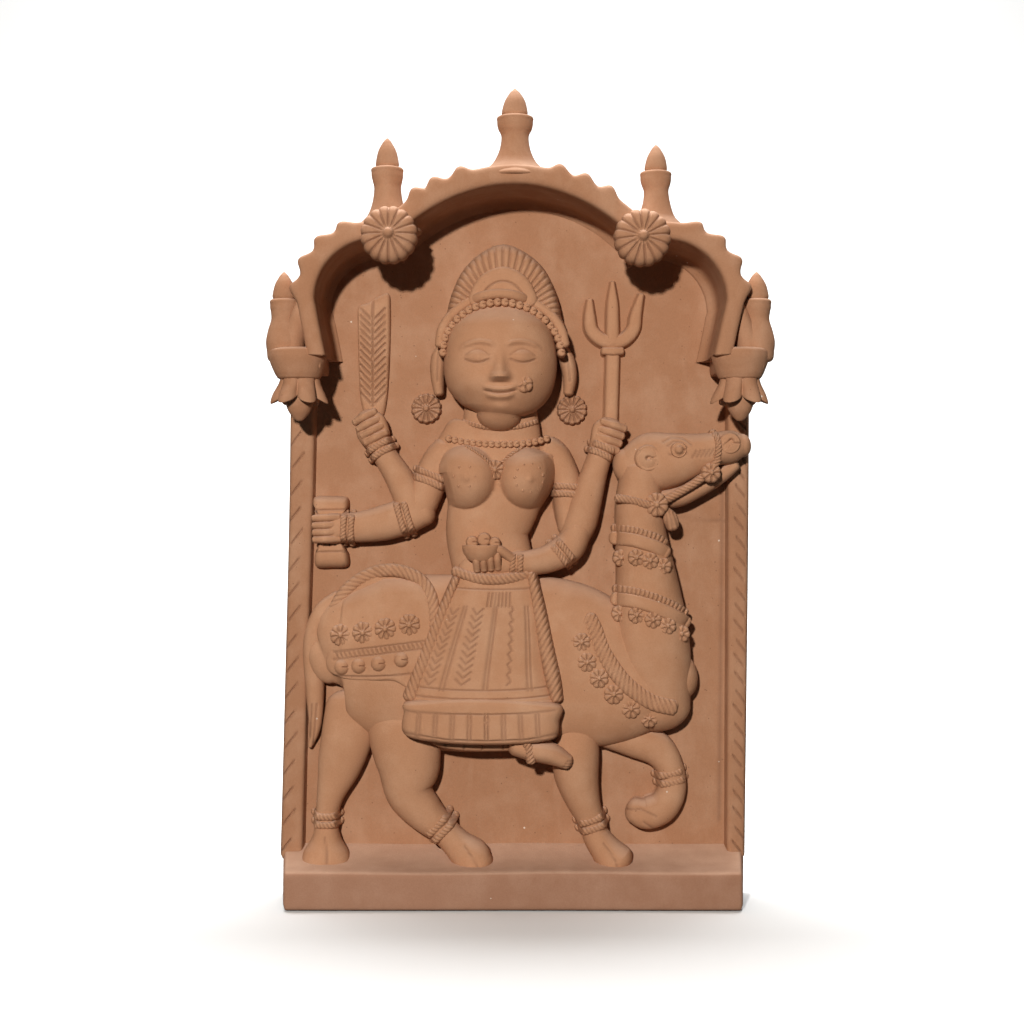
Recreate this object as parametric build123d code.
"""Terracotta wall plaque: a four-armed goddess riding a camel, under a scalloped arch.

Frame: +Z up, the front faces -Y, and the origin is the centre of the plinth's underside.
Every piece is hand-shaped clay, luted to the back slab or to its neighbours. A depth is a
distance in front of the slab's face. Sizes are in millimetres.
"""
from build123d import *
import math
import os

# ---- driving dimensions -------------------------------------------------------------------
SLAB_BACK = 36.0          # y of the flat back, which can rest against a wall
SLAB_THICK = 22.0
SLAB_FACE = SLAB_BACK - SLAB_THICK
PLINTH_HEIGHT = 32.0
PLINTH_DEPTH = 50.0       # how far the plinth stands in front of the slab
HOOD_DEPTH = 70.0         # how far the arch stands in front of the slab
COLUMN_DEPTH = 8.0
CLAY_WALL = 8.0           # wall of the hollow forms
VENT_RADIUS = 4.0         # steam vents through the slab, behind the hollow forms

# The niche: a wide middle circle and two shoulder circles, as (x, z, radius)
NICHE_CIRCLES = [(0, 419, 117.5), (-102, 453, 44), (112, 452, 44)]
BAND_THICK = [14.5, 13.5, 13.5]
SPRING_HEIGHT = 453.0
BAND_FOOT = 406.0
NICHE_FOOT = (-138, 147)
SCALLOP_RADIUS = 8.0
SCALLOP_SINK = 3.5
SCALLOPS = [[-33, -26, -17, 15, 23.5, 32], [-22, -42, -62, -83], [21, 41, 61, 82]]   # degrees from upright

pieces = {}               # name: the piece as it is written
forms = {}                # name: the filled form that cuts later pieces, and its box


# ---- helpers ------------------------------------------------------------------------------
def prism(face, near, far):
    """A flat face drawn in X and Z, from depth near to depth far."""
    return extrude(face.moved(Location((0, SLAB_FACE - near, 0))), amount=far - near, dir=(0, -1, 0))


def outline(points):
    """A face with straight sides, in X and Z."""
    return make_face(Polyline(*[(x, 0, z) for x, z in points], close=True).edges())


def smooth(points):
    """A face with a rounded edge through the points, in X and Z: a point is added on each curve
    between two neighbours, so the clay has small flats, as if pressed by fingers."""
    fine = []
    for i, b in enumerate(points):
        a, c, d = points[i - 1], points[(i + 1) % len(points)], points[(i + 2) % len(points)]
        fine += [b, tuple((9 * b[k] + 9 * c[k] - a[k] - d[k]) / 16 for k in (0, 1))]
    return outline(fine)


def disc(x, z, radius):
    """A round face in X and Z."""
    return Plane(origin=(x, 0, z), x_dir=(1, 0, 0), z_dir=(0, -1, 0)) * Circle(radius)


def button(x, z, radius, near, far):
    """A short cylinder square to the slab."""
    return prism(disc(x, z, radius), near, far)


def soften(solid, width):
    """Bevels the edge of a form's front."""
    front = solid.faces().sort_by(Axis.Y)[0]
    return chamfer(front.edges(), width)


def sides_of(path):
    """Points round a roll of changing half width, from (x, z, half width) along its middle."""
    left, right = [], []
    for i, (x, z, half) in enumerate(path):
        back, ahead = path[max(i - 1, 0)], path[min(i + 1, len(path) - 1)]
        run = math.hypot(ahead[0] - back[0], ahead[1] - back[1])
        nx, nz = -(ahead[1] - back[1]) / run, (ahead[0] - back[0]) / run
        left.append((x + nx * half, z + nz * half))
        right.append((x - nx * half, z - nz * half))
    return left, right


def beyond(path, end, neighbour):
    """The tip of a rounded end: a point past the end of a path by three quarters of its half width."""
    (x, z, half), (px, pz, _) = path[end], path[neighbour]
    reach = 0.75 * half / math.hypot(x - px, z - pz)
    return x + (x - px) * reach, z + (z - pz) * reach


def roll(path, far, soft, near=0):
    """A flattened roll of clay along a path, its front edge rounded."""
    left, right = sides_of(path)
    edge = left + [beyond(path, -1, -2)] + right[::-1] + [beyond(path, 0, 1)]
    return soften(prism(smooth(edge), near, far), soft)


def inset(points, wall):
    """A closed outline moved inwards by a wall; the points run clockwise or anticlockwise."""
    count = len(points)
    area = sum(points[i - 1][0] * points[i][1] - points[i][0] * points[i - 1][1] for i in range(count))
    side = math.copysign(wall, area)
    inner = []
    for i, (x, z) in enumerate(points):
        back, ahead = points[i - 1], points[(i + 1) % count]
        dx, dz = ahead[0] - back[0], ahead[1] - back[1]
        run = math.hypot(dx, dz)
        inner.append((x - dz / run * side, z + dx / run * side))
    return inner


def strap(path, near, far):
    """A flat strap with square ends, from (x, z, half width) along its middle."""
    left, right = sides_of(path)
    return prism(outline(left + right[::-1]), near, far)


def band(x, z, angle, length, width, near, far):
    """A straight strap across a limb, turned by an angle from level."""
    a = math.radians(angle)
    dx, dz = math.cos(a) * length / 2, math.sin(a) * length / 2
    return strap([(x - dx, z - dz, width / 2), (x + dx, z + dz, width / 2)], near, far)


def turned(x, depth, profile):
    """A round form about an upright axis, from (radius, z) points, bottom first."""
    points = [(x, profile[0][1])] + [(x + r, z) for r, z in profile if r > 0] + [(x, profile[-1][1])]
    face = outline(points).moved(Location((0, SLAB_FACE - depth, 0)))
    return revolve(face, axis=Axis((x, SLAB_FACE - depth, 0), (0, 0, 1)))


def box_of(shape):
    """The low and high corners of the box round a shape."""
    box = shape.bounding_box(optimal=False)
    return tuple(box.min), tuple(box.max)


def boxes_meet(a, b):
    """True if two boxes touch."""
    return all(a[0][i] <= b[1][i] and b[0][i] <= a[1][i] for i in range(3))


def lute(name, *shapes, hollow=None, keep=0.04):
    """Adds a piece, cut so that it meets the earlier ones face to face. Scraps are dropped.
    hollow is taken out of the piece, but not out of the form that cuts later pieces."""
    solids = []
    for shape in shapes:
        for other, box in forms.values():
            if boxes_meet(box_of(shape), box):
                shape = shape - other
        found = shape.solids()
        limit = keep * max(s.volume for s in found)
        solids += [s for s in found if s.volume > limit]
    whole = solids[0] if len(solids) == 1 else Compound(children=solids)
    forms[name] = whole, box_of(whole)
    pieces[name] = whole - hollow if hollow else whole


# ---- slab, plinth and arch -----------------------------------------------------------------
VENTS = [(-100, 185), (45, 215), (-18, 300), (-10, 405)]


def niche(growth):
    """The niche's circles, each grown by its own amount, with the part of the band below them."""
    left, right = NICHE_CIRCLES[1], NICHE_CIRCLES[2]
    face = outline([
        (left[0] - left[2] - growth[1], SPRING_HEIGHT),
        (NICHE_FOOT[0] - growth[1], BAND_FOOT),
        (NICHE_FOOT[1] + growth[2], BAND_FOOT),
        (right[0] + right[2] + growth[2], SPRING_HEIGHT),
    ])
    for (x, z, radius), extra in zip(NICHE_CIRCLES, growth):
        face = face + disc(x, z, radius + extra)
    return face - outline([(-250, 0), (250, 0), (250, BAND_FOOT), (-250, BAND_FOOT)])


def slab():
    """The flat tile that carries everything, with steam vents behind the hollow forms."""
    lower = outline([(-178, 0), (177, 0), (181, BAND_FOOT), (-170, BAND_FOOT)])
    tile = prism(lower + niche(BAND_THICK), -SLAB_THICK, 0)
    for x, z in VENTS:
        tile = tile - button(x, z, VENT_RADIUS, -SLAB_THICK - 1, 1)
    return tile


def plinth():
    """The foot: a bar in front of the slab's lower edge, narrower at its front, with rounded corners."""
    front = SLAB_FACE - PLINTH_DEPTH
    corners = [(-178, SLAB_FACE), (-172, front), (171, front), (177, SLAB_FACE)]
    bar = extrude(make_face(Polyline(*corners, close=True).edges()), amount=PLINTH_HEIGHT, dir=(0, 0, 1))
    return fillet(bar.edges().filter_by(Axis.Z).group_by(Axis.Y)[0], 5)


def hood():
    """The arch: a band round the niche, scalloped on its outside."""
    face = niche(BAND_THICK)
    for (x, z, radius), thick, angles in zip(NICHE_CIRCLES, BAND_THICK, SCALLOPS):
        reach = radius + thick - SCALLOP_SINK
        for angle in angles:
            a = math.radians(angle)
            face = face + disc(x + reach * math.sin(a), z + reach * math.cos(a), SCALLOP_RADIUS)
    return prism(face - niche([0, 0, 0]), 0, HOOD_DEPTH)


lute("back_slab", slab())
lute("base_plinth", plinth())
lute("arch_band", hood())
COLUMNS = {
    "left_column": [(-177, PLINTH_HEIGHT), (-160, PLINTH_HEIGHT), (-151, BAND_FOOT), (-170, BAND_FOOT)],
    "right_column": [(162, PLINTH_HEIGHT), (176, PLINTH_HEIGHT), (181, BAND_FOOT), (164, BAND_FOOT)],
}
for name, corners in COLUMNS.items():
    lute(name, prism(outline(corners), 0, COLUMN_DEPTH))

# ---- hanging capitals: a cushion, a ring of petals and a bud ---------------------------------
PENDANTS = {"left": -159, "right": 168}
PENDANT_DEPTH = 49.0
CUSHION = [(-20, 402), (20, 402), (23, 409), (21, 415), (-18, 415), (-22, 409)]
PETAL_CUP = [(12, 380), (19, 383), (15, 390), (13.5, 396), (14, 402)]
HANGING_BUD = [(3, 364), (8.5, 370), (10, 376), (9, 385), (9, 390)]
PETALS = 6
lute("hanging_buds", *[turned(x, PENDANT_DEPTH, HANGING_BUD) for x in PENDANTS.values()])
for side, x in PENDANTS.items():
    lute(f"{side}_cushion", prism(outline([(x + dx, z) for dx, z in CUSHION]), 0, HOOD_DEPTH + 4))
cups = []
for x in PENDANTS.values():
    cup = turned(x, PENDANT_DEPTH, PETAL_CUP)
    for k in range(PETALS):
        gap = Pos(19, 0, 380) * Rot(0, 0, 45) * Box(6, 6, 9)
        cup = cup - Pos(x, SLAB_FACE - PENDANT_DEPTH, 0) * Rot(0, 0, 360 * k / PETALS) * gap
    cups.append(cup)
lute("hanging_petals", *cups)

# ---- finials: a pot with a rolled ring, and a bud on it --------------------------------------
# name: (x, depth, z of the foot, z of the tip, radii of foot, neck, ring and bud)
FINIALS = {
    "top": (1, 45, 546, 612, 21, 10.3, 13.4, 9),
    "left": (-94, 45, 506, 575, 18.5, 10, 11.8, 8.4),
    "right": (106, 45, 506, 570, 17, 9.2, 11.5, 8.2),
    "left_corner": (-171.5, 48, 409, 475, 12, 8.2, 9.4, 7),
    "right_corner": (181.5, 48, 409, 475, 11.5, 8, 9.6, 7),
}
finial_buds = []
for name, (x, depth, foot, tip, foot_r, neck_r, ring_r, bud_r) in FINIALS.items():
    tall = tip - foot
    ring_z = tip - 0.38 * tall
    neck_z = ring_z - 0.14 * tall
    pot = [(foot_r, foot), (foot_r, foot + 0.12 * tall), (neck_r, neck_z), (neck_r, ring_z - 4),
           (ring_r, ring_z - 2), (ring_r, ring_z + 2), (bud_r, ring_z + 4)]
    bud = [(bud_r - 0.5, ring_z + 4), (bud_r, ring_z + 8), (bud_r * 0.7, ring_z + 0.7 * (tip - ring_z)),
           (1.5, tip - 1), (0.5, tip)]
    lute(f"{name}_finial", turned(x, depth, pot))
    finial_buds.append(turned(x, depth, bud))
lute("finial_buds", *finial_buds)

# ---- rosettes on the hood's two cusps ---------------------------------------------------------
ROSETTES = {"left": (-91, 499), "right": (94, 497)}
ROSETTE_PETALS = 16
for side, (x, z) in ROSETTES.items():
    flower = disc(x, z, 18)
    for k in range(ROSETTE_PETALS):
        a = math.tau * k / ROSETTE_PETALS
        flower = flower + disc(x + 16.8 * math.cos(a), z + 16.8 * math.sin(a), 3.6)
    lute(f"{side}_rosette", prism(flower, HOOD_DEPTH - 3, HOOD_DEPTH + 10) + button(x, z, 4, HOOD_DEPTH,
            HOOD_DEPTH + 14))

# ---- camel --------------------------------------------------------------------------------
NECK_PATH = [(110, 140, 16), (106, 162, 27), (104, 190, 28), (103, 220, 26.5), (100, 250, 23), (96, 280, 19),
             (94, 305, 17.5), (95, 326, 15)]
BODY_EDGE = [(-151, 190), (-142, 222), (-120, 243), (-92, 249), (-50, 249), (-8, 248), (38, 245), (74, 223),
             (100, 208), (124, 196),
             (136, 176), (122, 155), (100, 137), (74, 120), (35, 117), (-8, 114), (-52, 115), (-98,
                     126), (-128, 141), (-146, 163)]
HEAD_EDGE = [(78, 334), (88, 349), (104, 355), (122, 357), (138, 356), (154, 357), (170, 358), (181, 350),
             (178, 338),
             (166, 332), (152, 328), (138, 320), (120, 310), (100, 308), (84, 318)]
JAW_PATH = [(106, 301, 7), (122, 304, 8), (138, 310, 8), (154, 320, 7.5), (168, 329, 5.5)]
NEAR_HIND_PATH = [(-84, 140, 26), (-81, 112, 26), (-79, 88, 19), (-69, 68, 15), (-54, 53, 12.5),
                  (-41, 40, 13.5), (-31, 22, 15)]
FAR_HIND_PATH = [(-126, 148, 20), (-131, 120, 19), (-138, 90, 12), (-143, 66, 8.5), (-143, 50, 10),
                 (-143, 36, 17), (-143, 20, 19)]
NEAR_FORE_PATH = [(46, 130, 19), (48, 104, 17.5), (53, 80, 13), (60, 62, 10), (66, 48, 11), (75, 34, 14),
                  (80, 20, 14)]
RAISED_FORE_PATH = [(74, 128, 12), (98, 120, 13), (116, 111, 12), (121, 96, 10.5), (119, 80, 11),
                    (107, 67, 11), (92, 68, 9)]
TAIL_PATH = [(-134, 232, 6), (-146, 219, 8), (-153, 195, 7.6), (-152, 160, 6.9), (-152, 134, 4.8),
             (-155, 119, 2.2)]
BODY_DEPTH, NECK_DEPTH, CAMEL_HEAD_DEPTH = 38.0, 43.0, 41.0

lute("camel_neck", roll(NECK_PATH, NECK_DEPTH, 6))
lute("camel_head", soften(prism(smooth(HEAD_EDGE), 0, CAMEL_HEAD_DEPTH), 6.5))
lute("camel_lower_jaw", roll(JAW_PATH, 27, 2.5))
core = prism(smooth(inset(BODY_EDGE, CLAY_WALL)), 0, BODY_DEPTH - CLAY_WALL) - prism(disc(104, 190, 60), 0,
        60)
lute("camel_body", soften(prism(smooth(BODY_EDGE), 0, BODY_DEPTH), 11), hollow=core)
lute("near_hind_leg", roll(NEAR_HIND_PATH, 32, 8))
lute("near_foreleg", roll(NEAR_FORE_PATH, 32, 8))
lute("far_hind_leg", roll(FAR_HIND_PATH, 23, 6))
lute("raised_foreleg", roll(RAISED_FORE_PATH, 20, 4))
lute("camel_tail", roll(TAIL_PATH, 15, 1))
ear = button(101, 337, 11, 20, 46) - button(101, 337, 2.5, 35, 47)
lute("camel_ear_eye_and_nostril", ear, button(124, 343, 4.5, 30, 44), button(162, 347, 8, 25, 44))
ANKLETS = [(-56, 57, -35, 34, 34), (-143, 63, 0, 22, 25), (61, 59, 35, 27, 34), (120, 94, 0, 27, 22)]
lute("anklets", *[band(x, z, turn, length, 6, 0, far) for x, z, turn, length, far in ANKLETS], keep=0.3)

# ---- harness --------------------------------------------------------------------------------
COLLARS = [(97, 270, -8, 50), (104, 224, -12, 64)]
COLLAR_DISCS = [(83, 261), (93, 260), (103, 257), (112, 253), (82, 217), (94, 216), (105, 213), (116, 208),
                (126, 203)]
BRIDLE_PATH = [(76, 306, 3.5), (95, 305, 3.5), (107, 303, 3.5), (126, 313, 3.5), (147, 327, 3.5)]
BREAST_PATH = [(60, 212, 6), (68, 190, 6), (83, 169, 6), (101, 156, 6), (119, 151, 6)]
TASSELS = [(51, 197), (60, 178), (73, 161), (90, 146)]
straps = [band(x, z, turn, length, 9, 12, NECK_DEPTH + 4) for x, z, turn, length in COLLARS]
lute("neck_collars", *straps, keep=0.3)
lute("collar_discs", *[button(x, z, 5.3, 20, NECK_DEPTH + 4) for x, z in COLLAR_DISCS])
lute("breast_band", strap(BREAST_PATH, 20, NECK_DEPTH + 5))
lute("breast_tassels", *[button(x, z, 7, 20, BODY_DEPTH + 6) for x, z in TASSELS])
lute("bridle_rosettes", button(107, 303, 8.5, 20, NECK_DEPTH + 6), button(148, 328, 7.5, 20, NECK_DEPTH + 5))
lute("bridle_rope", strap(BRIDLE_PATH, 20, NECK_DEPTH + 3), keep=0.1)

# ---- goddess: skirt over the camel's back, body and head above it ------------------------------
TORSO_EDGE = [(-44, 246), (-51, 262), (-51, 280), (-51, 300), (-58, 320), (-60, 338), (-50, 352), (-36, 366),
              (-34, 386),
              (14, 386), (16, 366), (26, 352), (33, 340), (32, 320), (20, 300), (11, 280), (15, 262), (16,
                      246)]
TORSO_DEPTH, FACE_DEPTH, SKIRT_DEPTH = 34.0, 60.0, 50.0
HEAD_OVAL = [(-11, 361), (-33, 370), (-46, 385), (-52, 404), (-51, 424), (-43, 441), (-29, 452), (-10, 456),
             (9, 452), (23, 441), (31, 424), (32, 404), (26, 385), (12, 370)]
SKIRT_EDGE = [(-13, 254), (-40, 250), (-49, 232), (-62, 200), (-74, 170), (-80, 152), (-72, 147), (-23, 144),
              (24, 147), (34, 152),
              (32, 170), (28, 200), (23, 232), (14, 250)]
FLOUNCE_EDGE = [(-78, 150), (-70, 134), (-66, 118), (-22, 113), (22, 118), (25, 134), (32, 150), (-22, 160)]
SASH_PATH = [(12, 254, 5), (18, 224, 9), (25, 192, 10), (31, 164, 10), (34, 148, 7)]
BREASTS = [(-37, 324, 21), (12, 322, 20)]
FOOT_PATH = [(6, 114, 7), (20, 113, 9), (34, 111, 8), (46, 108, 4)]

core = prism(smooth(inset(TORSO_EDGE, CLAY_WALL)), 0,
             TORSO_DEPTH - CLAY_WALL) - prism(outline([(-80, 355), (60, 355), (60, 480), (-80, 480)]), 0, 60)
lute("goddess_head", soften(prism(smooth(HEAD_OVAL), 0, FACE_DEPTH), 17),
     hollow=prism(smooth(inset(HEAD_OVAL, CLAY_WALL + 2)), 0, FACE_DEPTH - CLAY_WALL - 6))
torso = soften(prism(smooth(TORSO_EDGE), 0, TORSO_DEPTH), 6)
for x, z, radius in BREASTS:
    torso = torso + Pos(x, SLAB_FACE - 24, z) * Sphere(radius)
lute("goddess_torso", torso, hollow=core)
lute("skirt", soften(prism(smooth(SKIRT_EDGE), 0, SKIRT_DEPTH), 3.5))
lute("skirt_flounce", soften(prism(smooth(FLOUNCE_EDGE), 10, SKIRT_DEPTH - 5), 2))
lute("skirt_sash", roll(SASH_PATH, SKIRT_DEPTH + 4, 3, near=30))
lute("goddess_foot", roll(FOOT_PATH, 44, 1.5, near=18))

# ---- head-dress and jewellery --------------------------------------------------------------------
CROWN_EDGE = [(-50, 425), (-51, 440), (-46, 459), (-34, 479), (-22, 493), (-8, 500), (7, 494), (24, 476),
              (33, 457), (37, 440), (36, 425), (-7, 415)]
BEAD_PATH = [(-53, 420, 4), (-46, 438, 4), (-29, 450, 4), (-9, 454, 4), (11, 450, 4), (28, 438, 4),
             (36, 418, 4)]
NECKLACE_PATH = [(-50, 356, 4), (-38, 350, 4), (-24, 347, 4), (-10, 346, 4), (5, 347, 4), (18, 351, 4),
                 (28, 357, 4)]
EAR_PATHS = [[(-54, 424, 4), (-56, 412, 5), (-57, 400, 5), (-57, 388, 4)],
             [(36, 424, 4), (42, 412, 5), (44, 400, 5), (43, 388, 4)]]
lute("crown", soften(prism(smooth(CROWN_EDGE), 0, 32), 4))
lute("crown_beads", strap(BEAD_PATH, 20, 48))
lute("ears", *[roll(path, 18, 1.5) for path in EAR_PATHS])
lute("ear_discs", button(-67, 376, 11.3, 0, 8), button(45, 375, 11.3, 0, 8))
lute("nose_ring", button(6, 392, 6.5, 40, FACE_DEPTH + 4))
lute("necklace", strap(NECKLACE_PATH, 14, TORSO_DEPTH + 5))

# ---- arms and what they hold -----------------------------------------------------------------------
UPPER_LEFT = [(-56, 342, 10), (-63, 325, 13), (-69, 308, 13), (-76, 296, 12)]
SWORD_FOREARM = [(-74, 294, 10), (-82, 313, 11), (-93, 332, 10), (-103, 349, 9.5), (-108, 360, 11.5),
                 (-111, 370, 9)]
DRUM_FOREARM = [(-68, 298, 11), (-84, 293, 13.5), (-105, 287, 13.5), (-124, 285, 11), (-140, 284, 11),
                (-148, 282, 8)]
UPPER_RIGHT = [(28, 346, 9), (38, 328, 11), (42, 308, 11), (43, 290, 11)]
TRIDENT_FOREARM = [(45, 276, 12), (52, 297, 13), (58, 317, 11.4), (64, 335, 9.5), (70, 350, 10.5),
                   (74, 363, 8)]
BOWL_FOREARM = [(47, 278, 10), (33, 265, 11), (16, 259, 10), (0, 258, 9), (-14, 260, 9.5), (-26, 262, 8)]
BLADE = [(-120, 362), (-121, 452), (-114, 461), (-102, 461), (-95, 452), (-95, 362)]
DRUM_EDGE = [(-153, 308), (-129, 308), (-129, 298), (-140, 283), (-125, 264), (-125, 254), (-152, 254),
             (-151, 264), (-146, 283), (-152, 298)]
PRONGS = [(58, 460, 3), (58, 440, 4), (65, 429, 4.5), (76, 427, 4.5), (87, 429, 4.5), (93, 441, 4),
          (98, 462, 3)]
SHAFT = [(74, 338, 4.5), (77, 430, 4.5)]
TINE = [(76, 425, 5), (76, 450, 5), (76, 475, 2)]
BANGLES = [(-99, 342, 28, 24, 27), (-123, 285, 90, 27, 28), (-66, 317, 14, 30, 27), (62, 334, -20, 25, 31),
           (41, 312, 0, 27, 25), (1, 258, 90, 21, 40)]
lute("sword", prism(outline(BLADE), 0, 8))
lute("hand_drum", prism(outline(DRUM_EDGE), 0, 14))
lute("trident", strap(SHAFT, 0, 9) + strap(PRONGS, 0, 8) + strap(TINE, 0, 10) - button(76, 432, 1.9, -1, 20))
lute("sword_upper_arm", roll(UPPER_LEFT, 24, 4.5))
lute("drum_forearm", roll(DRUM_FOREARM, 25, 4))
lute("sword_forearm", roll(SWORD_FOREARM, 24, 4))
lute("trident_upper_arm", roll(UPPER_RIGHT, 22, 6))
lute("bowl_forearm", roll(BOWL_FOREARM, 37, 4))
lute("trident_forearm", roll(TRIDENT_FOREARM, 28, 4))
lute("bangles", *[band(x, z, turn, length, 6, 0, far) for x, z, turn, length, far in BANGLES], keep=0.3)
lute("offering_bowl", Pos(-25, SLAB_FACE - 40, 272) * Cylinder(12, 9))

# ---- saddle cloth -------------------------------------------------------------------------------------
CLOTH_EDGE = [(-140, 178), (-136, 214), (-125, 234), (-111, 243), (-96, 247), (-81, 245), (-69, 240),
              (-62, 228), (-61, 208), (-63, 187), (-70, 171)]
ROPE_PATH = [(-137, 218, 4), (-126, 237, 4), (-111, 247, 4), (-96, 251, 4), (-81, 249, 4), (-68, 242, 4),
             (-61, 229, 4), (-60, 208, 4), (-62, 186, 4), (-68, 167, 4)]
SADDLE_FLOWERS = [(-129, 203), (-113, 205), (-96, 208), (-78, 210)]
SADDLE_BELLS = [(-128, 182), (-115, 183), (-101, 185), (-84, 189)]
lute("saddle_rope", strap(ROPE_PATH, 12, BODY_DEPTH + 6))
lute("saddle_cloth", prism(outline(CLOTH_EDGE), 14, BODY_DEPTH + 3))
flowers = [button(x, z, 7.5, 20, BODY_DEPTH + 7) for x, z in SADDLE_FLOWERS]
lute("saddle_flowers_and_bells", *flowers, *[button(x, z, 6, 20, BODY_DEPTH + 6) for x, z in SADDLE_BELLS])

os.makedirs("parts", exist_ok=True)
for name, piece in pieces.items():
    export_step(piece, f"parts/{name}.step")
print(len(pieces), "pieces")
